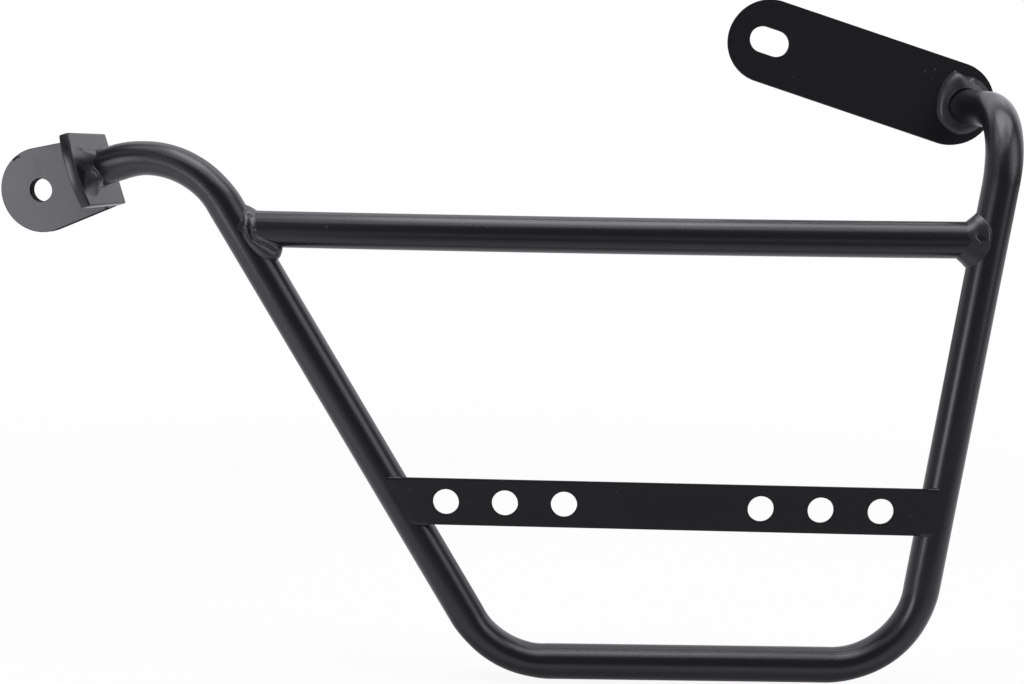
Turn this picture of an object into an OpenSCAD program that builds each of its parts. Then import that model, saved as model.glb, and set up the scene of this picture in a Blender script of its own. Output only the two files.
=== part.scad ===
// Pannier frame: a welded side rack that stands a saddle bag off the wheel of a motorbike.
//
// One steel tube, bent four times, makes the outer loop. A second tube and a drilled flat bar
// cross it. Each end of the loop carries a bracket that bolts to the bike.
//
// Millimetres. X runs along the frame, Z is up, and +Y points at the bike. The origin is the
// centre of the mounting hole in the lug, on the face of the lug that sits against the bike.

/* [Tube] */
// Outside diameter of both tubes
tube_d = 16; // [12:0.5:18]
// Wall of both tubes
tube_wall = 1.5; // [1:0.1:2.5]
// Bend radius of the three bends in the plane of the loop, to the centre of the tube
bend_r = 41.5; // [36:0.5:42]
// Bend radius of the bend that turns towards the bike, to the centre of the tube
top_bend_r = 34.5; // [30:0.5:38]

/* [Loop] */
// Straight line from the flange to the first corner
end_run = 43.7; // [40:0.1:50]
// Corner to corner, down the diagonal
diagonal_len = 267.6; // [255:0.1:285]
// Slope of the diagonal, below the level
diagonal_angle = 59; // [56:0.1:62]
// Corner to corner, along the bottom
bottom_len = 183.4; // [170:0.1:200]
// Rise of the bottom run
bottom_angle = 0.8; // [0:0.1:2]
// Corner to corner, up the leg
leg_len = 246.2; // [235:0.1:255]
// Slope of the leg, above the level
leg_angle = 81.5; // [79:0.1:84]
// From the last corner to the top plate, along Y
stub_reach = 66; // [60:0.5:75]
// Sideways lean of the stub towards the middle of the frame
stub_turn = 4.4; // [0:0.1:6]
// Upward lean of the stub
stub_lift = 6.2; // [0:0.1:8]

/* [Rear bracket] */
// Slope of the bracket, below the level
bracket_tilt = 16.5; // [10:0.5:20]
// Turn of the bracket towards the bike
bracket_turn = 6; // [0:0.5:8]
// Plate thickness of the flange and the lug
bracket_t = 4.6; // [3:0.1:5]
// Flange size across the bracket at its corners
flange_w = 39.7; // [36:0.1:42]
// How far the outer edge of the flange bows out between its corners
flange_bow = 3.4; // [1:0.1:5]
// Flange size up and down
flange_h = 32.8; // [28:0.1:34]
// Centre of the tube to the flange edge beside the lug
flange_inset = 21; // [19:0.5:22]
// Mounting hole to the back of the flange
lug_reach = 31.1; // [28:0.1:40]
// Radius of the round end of the lug
lug_r = 19.3; // [17:0.1:20]
// Diameter of the mounting hole in the lug
lug_hole_d = 10.5; // [8:0.5:12]

/* [Top plate] */
// Plate thickness
plate_t = 4; // [3:0.5:6]
// Width of the plate, which is also the diameter of its round ends
plate_w = 38.8; // [34:0.1:42]
// Distance between the centres of the round ends
plate_span = 91.2; // [80:0.1:100]
// Slope of the plate, rising away from the tube
plate_angle = 17.9; // [15:0.1:22]
// How far the tube stands beyond the centre of the near round end
plate_foot = 5.3; // [0:0.1:6]
// Centre line of the plate below the centre of the tube
plate_drop = 0.5; // [-2:0.1:2]
// Width of the slot
slot_w = 12.6; // [10:0.1:16]
// Length of the slot, end to end
slot_len = 19; // [17:0.1:26]
// Middle of the slot before the centre of the far round end
slot_inset = 0.2; // [0:0.1:3]

/* [Cross tube] */
// Centre of the cross tube below the lower of the two bends above it
cross_drop = 10; // [9:0.1:20]

/* [Bag strap] */
// Height of the flat bar
strap_h = 20.4; // [16:0.1:24]
// Thickness of the flat bar
strap_t = 3; // [2.5:0.5:4]
// Centre of the flat bar above the higher of the two bends below it
strap_rise = 35.8; // [14:0.1:60]
// Gap between the flat bar and the tube, filled by the weld
strap_gap = 0.8; // [0.5:0.1:1.2]
// Diameter of the holes
strap_hole_d = 11.5; // [8:0.5:13]
// Distance between neighbouring holes
strap_pitch = 26; // [22:0.5:28]
// Holes at each end of the flat bar
strap_holes = 3; // [1:1:3]
// Left end of the flat bar to the centre of its first hole
left_margin = 13.8; // [10:0.1:22]
// Right end of the flat bar to the centre of its first hole
right_margin = 18.8; // [10:0.1:22]

/* [Welds] */
// Reach of the ring welds over the plates
ring_plate_leg = 5.7; // [4:0.1:6]
// Reach of the ring welds along the tube
ring_tube_leg = 4; // [3:0.1:6]
// Reach of the left cross tube weld on its upper side
left_top_leg = 3.4; // [3:0.1:6]
// Reach of the left cross tube weld on its lower side
left_low_leg = 5.6; // [4:0.1:8]
// Reach of the right cross tube weld on its upper side
right_top_leg = 3.5; // [3:0.1:6]
// Reach of the right cross tube weld on its lower side
right_low_leg = 3.9; // [3:0.1:7]
// Reach of the cross tube welds on the outward side
front_leg = 5.5; // [4:0.1:7]
// Height of the weld crown above a straight line between its toes
crown = 0.5; // [0.3:0.1:1.4]
// How much wider the cross tube welds lie over the crest of the loop
crest_spread = 1.2; // [0:0.1:2]
// Stand of the ground weld in front of the flat bar
ground_stand = 0.2; // [0:0.05:0.4]
// Reach of the welds behind the ends of the flat bar
strap_leg = 4.5; // [3:0.5:6]
// Height of the small beads at the edges of the flat bar
strap_bead_h = 2.5; // [1:0.5:4]
// Reach of the weld inside the corner of the rear bracket
lug_leg = 4; // [3:0.5:6]

/* [Hidden] */

tube_r = tube_d / 2;
bore_r = tube_r - tube_wall;
paint = [0.10, 0.10, 0.11];
round_fn = 96;
bend_fn = 180;
weld_steps = 64;
bend_swell = 0.1;
bend_lap = 0.5;

// How far cutters run past a face, weld toes lie under it and weld roots reach inside the walls
past = 1;
toe_sink = 0.4;
root_sink = 2.5;

// How far the welds of the flat bar stop short of its faces and edges
edge_inset = 0.3;

// Shoulder of the ring welds, as shares of their reach over the plate and along the tube
shoulder_out = 0.55;
shoulder_up = 0.62;

// Directions of the straight runs of the loop
x_axis = [1, 0, 0];
y_axis = [0, 1, 0];
out_dir = [cos(bracket_tilt) * cos(bracket_turn), -cos(bracket_tilt) * sin(bracket_turn),
    sin(bracket_tilt)];
diagonal_dir = [cos(diagonal_angle), 0, -sin(diagonal_angle)];
bottom_dir = [cos(bottom_angle), 0, sin(bottom_angle)];
leg_dir = [cos(leg_angle), 0, sin(leg_angle)];
stub_dir = [-cos(stub_lift) * sin(stub_turn), cos(stub_lift) * cos(stub_turn), sin(stub_lift)];

// Directions across the rear bracket, from its outer edge to the bike and from bottom to top
bracket_in = unit(y_axis - out_dir * (out_dir * y_axis));
bracket_up = cross(out_dir, bracket_in);

// Corners of the loop, where the centre lines of neighbouring runs meet
tube_start = out_dir * (lug_reach + bracket_t) - bracket_in * flange_inset;
arch_corner = tube_start + out_dir * end_run;
low_corner = arch_corner + diagonal_dir * diagonal_len;
leg_corner = low_corner + bottom_dir * bottom_len;
top_corner = leg_corner + leg_dir * leg_len;
tube_foot = top_corner + stub_dir * (stub_reach / stub_dir[1]);
tube_end = tube_foot + stub_dir * tube_r;
path = [tube_start, arch_corner, low_corner, leg_corner, top_corner, tube_end];
radii = [0, bend_r, bend_r, bend_r, top_bend_r, 0];
last = len(path) - 1;

// Plane of the loop and the face of the top plate that the tube stands on
loop_y = arch_corner[1];
plate_y = tube_foot[1];

// Where the cross tube and the flat bar meet the loop, on its straight runs
straight_top = min(arch_corner[2] - set_back(1) * sin(diagonal_angle),
    top_corner[2] - set_back(4) * sin(leg_angle));
straight_foot = max(low_corner[2] + set_back(2) * sin(diagonal_angle),
    leg_corner[2] + set_back(3) * sin(leg_angle));
cross_z = straight_top - cross_drop;
cross_left = [diagonal_x(cross_z), loop_y, cross_z];
cross_right = [leg_x(cross_z), loop_y, cross_z];
strap_z = straight_foot + strap_rise;
strap_face_y = loop_y - tube_r;
strap_back_y = strap_face_y + strap_t;
strap_top = strap_z + strap_h / 2;
strap_bottom = strap_z - strap_h / 2;
strap_edge = sqrt(tube_r * tube_r - (tube_r - strap_t) * (tube_r - strap_t)) + strap_gap;

// Point on the centre line of the diagonal or of the leg at a height
function diagonal_x(z) = arch_corner[0] + (arch_corner[2] - z) / tan(diagonal_angle);
function leg_x(z) = leg_corner[0] + (z - leg_corner[2]) / tan(leg_angle);

// Straight runs and bends of the loop
function unit(v) = v / norm(v);
function run_dir(i) = unit(path[i + 1] - path[i]);
function turn(i) = i == 0 || i == last ? 0 : acos(run_dir(i - 1) * run_dir(i));
function set_back(i) = radii[i] * tan(turn(i) / 2);
function inward(i) = unit(run_dir(i) - run_dir(i - 1) * (run_dir(i - 1) * run_dir(i)));

// Places children at a point, with their Z along one direction and their X along another
module place(at, z_dir, x_dir) {
    y_dir = cross(z_dir, x_dir);
    multmatrix([
        [x_dir[0], y_dir[0], z_dir[0], at[0]],
        [x_dir[1], y_dir[1], z_dir[1], at[1]],
        [x_dir[2], y_dir[2], z_dir[2], at[2]],
        [0, 0, 0, 1]])
        children();
}

// Round bar along one straight run, made longer by extra at the open ends of the loop
module run_bar(i, r, extra = 0) {
    dir = run_dir(i);
    before = i == 0 ? extra : 0;
    after = i == last - 1 ? extra : 0;
    start = path[i] + dir * (set_back(i) - before);
    length = norm(path[i + 1] - path[i]) - set_back(i) - set_back(i + 1) + before + after;
    side = unit(cross(dir, i == 0 ? bracket_up : inward(i)));
    place(start, dir, side)
        cylinder(h = length, r = r, $fn = round_fn);
}

// Round bar through one bend. It is a hair thicker than the straights and laps over them, so
// that the pieces join into one solid.
module bend_bar(i, r) {
    inner = inward(i);
    start = path[i] - run_dir(i - 1) * set_back(i);
    lap = bend_lap / radii[i] * 180 / PI;
    place(start + inner * radii[i], cross(-inner, run_dir(i - 1)), -inner)
        rotate([0, 0, -lap])
            rotate_extrude(angle = turn(i) + 2 * lap, $fn = bend_fn)
                translate([radii[i], 0])
                    circle(r = r + bend_swell, $fn = round_fn);
}

// Round bar along the whole loop
module loop_bar(r, extra = 0) {
    for (i = [0 : last - 1])
        run_bar(i, r, extra);
    for (i = [1 : last - 1])
        bend_bar(i, r);
}

module main_tube() {
    color(paint)
        difference() {
            loop_bar(tube_r);
            loop_bar(bore_r, past);
            translate([tube_foot[0] - tube_d, plate_y, tube_foot[2] - tube_d])
                cube(2 * tube_d);
        }
}

// The cross tube, before its ends are cut to the shape of the loop
module cross_bar(r) {
    translate(cross_left)
        rotate([0, 90, 0])
            cylinder(h = cross_right[0] - cross_left[0], r = r, $fn = round_fn);
}

module cross_tube() {
    color(paint)
        difference() {
            cross_bar(tube_r);
            cross_bar(bore_r);
            run_bar(1, tube_r);
            run_bar(3, tube_r);
        }
}

// Ends of the flat bar at a height, parallel to the tubes
function strap_left(z) = diagonal_x(z) + strap_edge / sin(diagonal_angle);
function strap_right(z) = leg_x(z) - strap_edge / sin(leg_angle);

// Extrudes an outline drawn in X and Z between two values of Y
module between_y(y_front, y_back) {
    translate([0, y_back, 0])
        rotate([90, 0, 0])
            linear_extrude(y_back - y_front)
                children();
}

module strap_blank() {
    between_y(strap_face_y, strap_back_y)
        polygon([
            [strap_left(strap_bottom), strap_bottom],
            [strap_right(strap_bottom), strap_bottom],
            [strap_right(strap_top), strap_top],
            [strap_left(strap_top), strap_top]]);
}

module bag_strap() {
    holes = [for (i = [0 : strap_holes - 1])
        each [strap_left(strap_z) + left_margin + i * strap_pitch,
            strap_right(strap_z) - right_margin - i * strap_pitch]];
    color(paint)
        difference() {
            strap_blank();
            for (x = holes)
                translate([x, strap_back_y + past, strap_z])
                    rotate([90, 0, 0])
                        cylinder(h = strap_t + 2 * past, d = strap_hole_d, $fn = round_fn);
        }
}

// Places children on the top plate, with X along it from the near round end
module on_plate() {
    along = [-cos(plate_angle), 0, sin(plate_angle)];
    across = [sin(plate_angle), 0, cos(plate_angle)];
    near_end = tube_foot + along * plate_foot - across * plate_drop;
    place(near_end, y_axis, along)
        children();
}

module top_plate() {
    slot_at = plate_span - slot_inset;
    slot_ends = (slot_len - slot_w) / 2;
    color(paint)
        on_plate()
            difference() {
                union() {
                    cylinder(h = plate_t, d = plate_w, $fn = round_fn);
                    translate([plate_span, 0, 0])
                        cylinder(h = plate_t, d = plate_w, $fn = round_fn);
                    translate([0, -plate_w / 2, 0])
                        cube([plate_span, plate_w, plate_t]);
                }
                for (side = [-1, 1])
                    translate([slot_at + side * slot_ends, 0, -past])
                        cylinder(h = plate_t + 2 * past, d = slot_w, $fn = round_fn);
                translate([slot_at - slot_ends, -slot_w / 2, -past])
                    cube([2 * slot_ends, slot_w, plate_t + 2 * past]);
            }
}

// Places children on the rear bracket, with X from the mounting hole to the flange and Z up
module on_bracket() {
    place([0, 0, 0], bracket_up, out_dir)
        children();
}

module flange_plate() {
    // The outer edge is part of a circle through the two outer corners
    bow_r = (pow(flange_h / 2, 2) + pow(flange_bow, 2)) / (2 * flange_bow);
    color(paint)
        on_bracket()
            translate([lug_reach, -flange_w, 0])
                intersection() {
                    translate([0, -2 * flange_bow, -flange_h / 2])
                        cube([bracket_t, flange_w + 2 * flange_bow, flange_h]);
                    translate([-past, bow_r - flange_bow, 0])
                        rotate([0, 90, 0])
                            cylinder(h = bracket_t + 2 * past, r = bow_r, $fn = round_fn);
                }
}

module lug_plate() {
    // The sides run from the corners of the flange and meet the round end without a step
    corner = [lug_reach, flange_h / 2];
    touch = atan2(corner[1], corner[0]) + acos(lug_r / norm(corner));
    tangent = [lug_r * cos(touch), lug_r * sin(touch)];
    color(paint)
        on_bracket()
            rotate([90, 0, 0])
                difference() {
                    union() {
                        cylinder(h = bracket_t, r = lug_r, $fn = round_fn);
                        linear_extrude(bracket_t)
                            polygon([
                                [0, 0],
                                [tangent[0], -tangent[1]],
                                [corner[0], -corner[1]],
                                corner,
                                tangent]);
                    }
                    translate([0, 0, -past])
                        cylinder(h = bracket_t + 2 * past, d = lug_hole_d, $fn = round_fn);
                }
}

// Ring weld around the foot of the tube, with the plate at its base
module ring_weld() {
    inner = (bore_r + tube_r) / 2;
    rotate_extrude($fn = bend_fn)
        polygon([
            [inner, 0],
            [tube_r + ring_plate_leg, 0],
            [tube_r + ring_plate_leg * shoulder_out, ring_tube_leg * shoulder_up],
            [tube_r, ring_tube_leg],
            [inner, ring_tube_leg]]);
}

module weld_flange() {
    color(paint)
        difference() {
            place(tube_start, out_dir, bracket_up)
                ring_weld();
            run_bar(0, tube_r);
            bend_bar(1, tube_r);
        }
}

module weld_top_plate() {
    color(paint)
        difference() {
            translate([tube_foot[0], plate_y, tube_foot[2]])
                rotate([90, 0, 0])
                    ring_weld();
            run_bar(4, tube_r);
        }
}

module weld_lug() {
    color(paint)
        on_bracket()
            translate([lug_reach, -bracket_t, -flange_h / 2])
                linear_extrude(flange_h)
                    polygon([
                        [0, 0],
                        [-lug_leg, 0],
                        [0, -lug_leg]]);
}

// Saddle weld between the cross tube and a run of the loop.
// side is 1 where the cross tube leaves to the right and -1 where it leaves to the left.
// rise is the direction of the run, upwards.
module saddle_weld(at, side, rise, top_leg, low_leg) {
    away = [side * abs(rise[2]), 0, -side * rise[0] * sign(rise[2])];
    // a goes once round the cross tube: 0 is the outward side, 90 the top and 180 the bike side
    function leg(a) = sin(a) > 0
        ? front_leg + (top_leg - front_leg) * sin(a)
        : front_leg + (front_leg - low_leg) * sin(a);
    function root_x(a) = (tube_r * abs(sin(a)) - tube_r * sin(a) * away[2]) / away[0];
    function root(a) = [root_x(a), -tube_r * cos(a), tube_r * sin(a)];
    function cross_normal(a) = [0, -cos(a), sin(a)];
    function on_run(p) = p * rise;
    // Toe on the cross tube, just under its surface
    function toe_cross(a) = root(a) + [side * leg(a), 0, 0] - cross_normal(a) * toe_sink;
    // Toe on the run, found by walking over its surface from the root
    function spread(a) = cos(a) * crest_spread * pow(cos(a), 2) / tube_r * 180 / PI;
    function run_turn(a) = atan2(-root(a)[1], root(a) * away) + spread(a);
    function toe_run(a) = rise * (on_run(root(a)) + leg(a) * sin(a))
        + away * (tube_r - toe_sink) * cos(run_turn(a))
        - y_axis * (tube_r - toe_sink) * sin(run_turn(a));
    function outward(a) = unit(cross_normal(a) + unit(root(a) - rise * on_run(root(a))));
    function top_of(a) = (toe_cross(a) + toe_run(a)) / 2 + outward(a) * (crown + toe_sink);
    function base(a) = root(a) - outward(a) * root_sink;
    turns = [for (i = [0 : weld_steps - 1]) 360 * i / weld_steps];
    points = [for (a = turns) each [base(a), toe_cross(a), top_of(a), toe_run(a)]];
    count = 4 * weld_steps;
    quads = [for (i = [0 : weld_steps - 1], k = [0 : 3])
        [4 * i + k, 4 * i + (k + 1) % 4, (4 * i + 4 + (k + 1) % 4) % count, (4 * i + 4 + k) % count]];
    faces = side > 0 ? quads : [for (q = quads) [q[3], q[2], q[1], q[0]]];
    translate(at)
        polyhedron(points = points, faces = faces, convexity = 6);
}

module weld_cross_left() {
    color(paint)
        difference() {
            saddle_weld(cross_left, 1, -diagonal_dir, left_top_leg, left_low_leg);
            cross_bar(tube_r);
            run_bar(1, tube_r);
        }
}

module weld_cross_right() {
    color(paint)
        difference() {
            saddle_weld(cross_right, -1, leg_dir, right_top_leg, right_low_leg);
            cross_bar(tube_r);
            run_bar(3, tube_r);
        }
}

// Weld at one end of the flat bar, drawn across the tube: X away from the tube, Y towards the
// bike. It fills the groove in front and the corner behind, and it is ground flat in front. It
// laps into the bar and the tube, which are cut from it later.
module strap_weld_section() {
    toe = [strap_edge + strap_leg, strap_t - tube_r];
    heel = [tube_r - toe_sink, strap_t - tube_r + strap_leg];
    polygon([
        [-root_sink, -tube_r + past],
        [0, -tube_r - ground_stand],
        [strap_edge + past, -tube_r + ground_stand / 2],
        toe + (toe - heel) * past / strap_leg,
        heel,
        [0, -tube_r / 2]]);
}

// Small bead on an edge of the flat bar where it meets the tube. It peaks half way across the
// tube and runs out on the crest of the tube and on the edge of the bar.
module strap_bead(at_x, side, edge_z, up) {
    between_y(strap_face_y + edge_inset, strap_back_y - edge_inset)
        polygon([
            [at_x - side * strap_bead_h / 2, edge_z - up * past],
            [at_x + side * (tube_r + 2 * strap_bead_h), edge_z - up * past],
            [at_x + side * tube_r / 2, edge_z + up * strap_bead_h]]);
}

// Weld between one end of the flat bar and a run of the loop
module strap_weld(at_x, side, rise) {
    away = [side * abs(rise[2]), 0, -side * rise[0]];
    intersection() {
        place([at_x, loop_y, strap_z], cross(away, y_axis), away)
            translate([0, 0, -strap_h])
                linear_extrude(2 * strap_h)
                    strap_weld_section();
        translate([at_x - strap_h, loop_y - tube_d, strap_bottom + edge_inset])
            cube([2 * strap_h, 2 * tube_d, strap_h - 2 * edge_inset]);
    }
}

module weld_strap_left() {
    color(paint)
        difference() {
            union() {
                strap_weld(diagonal_x(strap_z), 1, -diagonal_dir);
                strap_bead(diagonal_x(strap_top), 1, strap_top, 1);
                strap_bead(diagonal_x(strap_bottom), 1, strap_bottom, -1);
            }
            strap_blank();
            run_bar(1, tube_r);
        }
}

module weld_strap_right() {
    color(paint)
        difference() {
            union() {
                strap_weld(leg_x(strap_z), -1, leg_dir);
                strap_bead(leg_x(strap_top), -1, strap_top, 1);
                strap_bead(leg_x(strap_bottom), -1, strap_bottom, -1);
            }
            strap_blank();
            run_bar(3, tube_r);
        }
}

main_tube();
cross_tube();
bag_strap();
top_plate();
flange_plate();
lug_plate();
weld_flange();
weld_lug();
weld_top_plate();
weld_cross_left();
weld_cross_right();
weld_strap_left();
weld_strap_right();
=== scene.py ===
# %% [markdown]
# # A welded pannier frame
#
# This frame bolts to the side of a motorbike and holds a saddle bag clear of the wheel. It is
# a steel tube bent into a loop, a second tube and a drilled flat bar across it, and a bracket
# at each end. Everything is painted satin black.
#
# The exact shapes are already made in the CAD part, so this script only dresses them. It loads
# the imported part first, because every piece below takes its place from it.

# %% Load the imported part
from bisect import bisect_right
from functools import lru_cache
from math import acos, asin, atan2, cos, degrees, exp, pi, radians, sin, sqrt, tan
import bmesh
import bpy
from mathutils import Matrix, Vector, noise


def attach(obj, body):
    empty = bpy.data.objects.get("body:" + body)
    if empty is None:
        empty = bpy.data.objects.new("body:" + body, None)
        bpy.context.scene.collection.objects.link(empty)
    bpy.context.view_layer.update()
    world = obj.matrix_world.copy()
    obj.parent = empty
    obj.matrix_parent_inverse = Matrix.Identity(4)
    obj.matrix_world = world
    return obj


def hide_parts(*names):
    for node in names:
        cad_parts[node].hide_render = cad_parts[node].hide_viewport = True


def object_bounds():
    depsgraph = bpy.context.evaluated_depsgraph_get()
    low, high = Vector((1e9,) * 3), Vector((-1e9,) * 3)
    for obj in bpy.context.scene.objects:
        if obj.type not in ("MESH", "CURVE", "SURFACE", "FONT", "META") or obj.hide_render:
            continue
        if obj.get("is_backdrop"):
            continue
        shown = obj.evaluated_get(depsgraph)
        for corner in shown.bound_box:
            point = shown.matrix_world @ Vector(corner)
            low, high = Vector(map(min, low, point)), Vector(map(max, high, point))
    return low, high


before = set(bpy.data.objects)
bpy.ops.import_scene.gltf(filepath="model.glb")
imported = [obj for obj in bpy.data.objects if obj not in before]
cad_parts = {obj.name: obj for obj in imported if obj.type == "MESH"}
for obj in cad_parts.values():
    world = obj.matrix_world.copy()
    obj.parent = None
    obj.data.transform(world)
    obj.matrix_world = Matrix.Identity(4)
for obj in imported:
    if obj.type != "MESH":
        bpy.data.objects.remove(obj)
cad_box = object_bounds()

MM, TINY = 0.001, 1e-7


def in_mm(points):
    return [[round(x / MM, 1) for x in point] for point in points]


print("nodes:", ", ".join(sorted(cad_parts)))
print("CAD box in mm:", in_mm(cad_box))

# %% [markdown]
# ## The sizes that the pieces share
#
# A bent tube is described as its maker would: straight runs that would meet at corners, and a
# bend radius at each corner. The same numbers are in the CAD part, in millimetres there and in
# metres here. Points along the loop follow from them, so no point is typed in twice.

# %% Sizes of the loop
X_AXIS, Y_AXIS, Z_AXIS = Vector((1, 0, 0)), Vector((0, 1, 0)), Vector((0, 0, 1))
TUBE_R = 8 * MM
BEND_R, TOP_BEND_R = 41.5 * MM, 34.5 * MM
ARCH_RUN, DIAGONAL_RUN, BOTTOM_RUN, LEG_RUN = 43.7, 267.6, 183.4, 246.2
BRACKET_TILT, BRACKET_TURN = radians(16.5), radians(6)
BRACKET_T, LUG_REACH, FLANGE_INSET = 4.6 * MM, 31.1 * MM, 21 * MM
DIAGONAL_ANGLE, LEG_ANGLE, BOTTOM_ANGLE = radians(59), radians(81.5), radians(0.8)
STUB_TURN, STUB_LIFT, STUB_REACH = radians(4.4), radians(6.2), 66 * MM

out_dir = Vector((cos(BRACKET_TILT) * cos(BRACKET_TURN),
                  -cos(BRACKET_TILT) * sin(BRACKET_TURN), sin(BRACKET_TILT)))
bracket_in = (Y_AXIS - out_dir * out_dir.dot(Y_AXIS)).normalized()
bracket_up = out_dir.cross(bracket_in)
diagonal_dir = Vector((cos(DIAGONAL_ANGLE), 0, -sin(DIAGONAL_ANGLE)))
bottom_dir = Vector((cos(BOTTOM_ANGLE), 0, sin(BOTTOM_ANGLE)))
leg_dir = Vector((cos(LEG_ANGLE), 0, sin(LEG_ANGLE)))
stub_dir = Vector((-cos(STUB_LIFT) * sin(STUB_TURN), cos(STUB_LIFT) * cos(STUB_TURN),
                   sin(STUB_LIFT)))

tube_start = out_dir * (LUG_REACH + BRACKET_T) - bracket_in * FLANGE_INSET
arch_corner = tube_start + out_dir * ARCH_RUN * MM
low_corner = arch_corner + diagonal_dir * DIAGONAL_RUN * MM
leg_corner = low_corner + bottom_dir * BOTTOM_RUN * MM
top_corner = leg_corner + leg_dir * LEG_RUN * MM
tube_foot = top_corner + stub_dir * (STUB_REACH / stub_dir.y)
loop_y, plate_y = arch_corner.y, tube_foot.y
corners = [tube_start, arch_corner, low_corner, leg_corner, top_corner,
           tube_foot + stub_dir * TUBE_R]
bend_radii = [0, BEND_R, BEND_R, BEND_R, TOP_BEND_R, 0]
print("corners in mm:", in_mm(corners))

# %% Where the cross tube and the flat bar meet the loop
def run_dir(i):
    return (corners[i + 1] - corners[i]).normalized()


def bend_angle(i):
    return acos(run_dir(i - 1).dot(run_dir(i)))


def set_back(i):
    """How far the bend at a corner eats into the straight runs beside it."""
    return bend_radii[i] * tan(bend_angle(i) / 2) if 0 < i < len(corners) - 1 else 0


def diagonal_x(z):
    return arch_corner.x + (arch_corner.z - z) / tan(DIAGONAL_ANGLE)


def leg_x(z):
    return leg_corner.x + (z - leg_corner.z) / tan(LEG_ANGLE)


CROSS_DROP, STRAP_RISE = 10 * MM, 35.8 * MM
cross_z = min(arch_corner.z - set_back(1) * sin(DIAGONAL_ANGLE),
              top_corner.z - set_back(4) * sin(LEG_ANGLE)) - CROSS_DROP
strap_z = max(low_corner.z + set_back(2) * sin(DIAGONAL_ANGLE),
              leg_corner.z + set_back(3) * sin(LEG_ANGLE)) + STRAP_RISE
cross_left = Vector((diagonal_x(cross_z), loop_y, cross_z))
cross_right = Vector((leg_x(cross_z), loop_y, cross_z))
print("cross tube at z =", round(cross_z / MM, 2), "mm")
print("flat bar at z =", round(strap_z / MM, 2), "mm")

# %% [markdown]
# ## Materials
#
# Powder coat is a plastic skin baked on steel. Its colour is nearly even, so what the eye reads
# is its gloss: soft highlights that run along the tubes, broken by a faint orange peel, a few
# dust specks and the rubs and nicks of handling. Those belong in roughness and bump.
#
# Shader maths is easier to read as sums than as a web of boxes. One small class wraps a socket,
# so that an expression such as `0.34 + 0.1 * grain` adds its own Math nodes.

# %% A socket that can be added and multiplied
class Wire:
    """An output socket in a material. Sums and products on it add Math nodes."""

    def __init__(self, tree, socket=None):
        self.tree, self.socket = tree, socket

    def node(self, kind, settings=None, take=0, **inputs):
        """Adds a node: its settings first, then its sockets. Returns one of its outputs.
        Where a node has two sockets of one name, _6 stands for the one with number 6."""
        made = self.tree.nodes.new(kind)
        for key, value in (settings or {}).items():
            setattr(made, key, value)
        for key, value in inputs.items():
            slot = int(key[1:]) if key[0] == "_" else key.replace("_", " ")
            if isinstance(value, Wire):
                self.tree.links.new(value.socket, made.inputs[slot])
            else:
                made.inputs[slot].default_value = value
        return Wire(self.tree, made.outputs[take] if made.outputs else None)

    def maths(self, operation, *values):
        inputs = {f"_{i}": value for i, value in enumerate(values)}
        return self.node("ShaderNodeMath", {"operation": operation}, **inputs)

    def __add__(self, other): return self.maths("ADD", self, other)
    def __radd__(self, other): return self.maths("ADD", other, self)
    def __sub__(self, other): return self.maths("SUBTRACT", self, other)
    def __rsub__(self, other): return self.maths("SUBTRACT", other, self)
    def __mul__(self, other): return self.maths("MULTIPLY", self, other)
    def __rmul__(self, other): return self.maths("MULTIPLY", other, self)

    def at_most(self, other): return self.maths("MINIMUM", self, other)
    def at_least(self, other): return self.maths("MAXIMUM", self, other)

    def step(self, low, high):
        """Rises smoothly from 0 at low to 1 at high, or falls where low is the larger."""
        small, large = min(low, high), max(low, high)
        first, last = (0.0, 1.0) if low < high else (1.0, 0.0)
        return self.node("ShaderNodeMapRange", {"interpolation_type": "SMOOTHSTEP"}, _0=self,
                         _1=small, _2=large, _3=first, _4=last)

# %% Vectors and colours
def vector_maths(start, operation, *values, take="Vector", **inputs):
    inputs.update({f"_{i}": value for i, value in enumerate(values)})
    return start.node("ShaderNodeVectorMath", {"operation": operation}, take, **inputs)


def blend(start, share, first, second):
    """The first colour where share is 0, and the second where it is 1. A Mix node takes its
    colours in sockets 6 and 7 and gives one in its output 2."""
    return start.node("ShaderNodeMix", {"data_type": "RGBA"}, 2, _0=share, _6=first, _7=second)

# %% Noise and marks in the paint
def new_material(name):
    made = bpy.data.materials.new(name)
    made.use_nodes = True
    made.node_tree.nodes.clear()
    return made, Wire(made.node_tree)


def grain(start, place, scale, detail=2.0):
    """Even noise from 0 to 1, with its scale in grains per metre."""
    return start.node("ShaderNodeTexNoise", {"noise_dimensions": "3D"}, Vector=place,
                      Scale=scale, Detail=detail, Roughness=0.55)


DOT_LENGTH, MARK_CORE = 1e-6, 0.35


def mark(start, place, ends, width):
    """1 on a short line between two points in mm and 0 away from it, for a nick or a rub.
    Where both points are the same it is a dot."""
    a, b = (Vector(end) * MM for end in ends)
    along = (b - a) if (b - a).length > 0 else X_AXIS * DOT_LENGTH
    from_a = vector_maths(start, "SUBTRACT", place, a)
    per_length = along / along.length_squared
    share = vector_maths(start, "DOT_PRODUCT", from_a, per_length, take="Value")
    on_line = vector_maths(start, "SCALE", along, Scale=share.at_least(0.0).at_most(1.0))
    gap = vector_maths(start, "DISTANCE", from_a, on_line, take="Value")
    return gap.step(width * MM, width * MM * MARK_CORE)

# %% The paint on tubes, plates and welds
PAINT = (0.0067, 0.0064, 0.0080, 1)
# The paint on the welds is the same black made about three times lighter: painted light, for
# the brightness that the beads catch from the room round them.
WELD_LIT_PAINT = (0.020, 0.0195, 0.0215, 1)
RUBBED = (0.055, 0.054, 0.056, 1)
CLOUDS, FINE_GRAINS, PEEL_GRAINS, DUST_GRAINS, DUST_PATCHES = 30, 700, 1400, 160, 90
BUMP_STRENGTH, BUMP_DEPTH = 0.08, 0.1 * MM
# How much each of these makes the paint duller.
CLOUD_DULL, FINE_DULL, NICK_DULL, WORN_DULL = 0.06, 0.02, 0.08, 0.15


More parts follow.
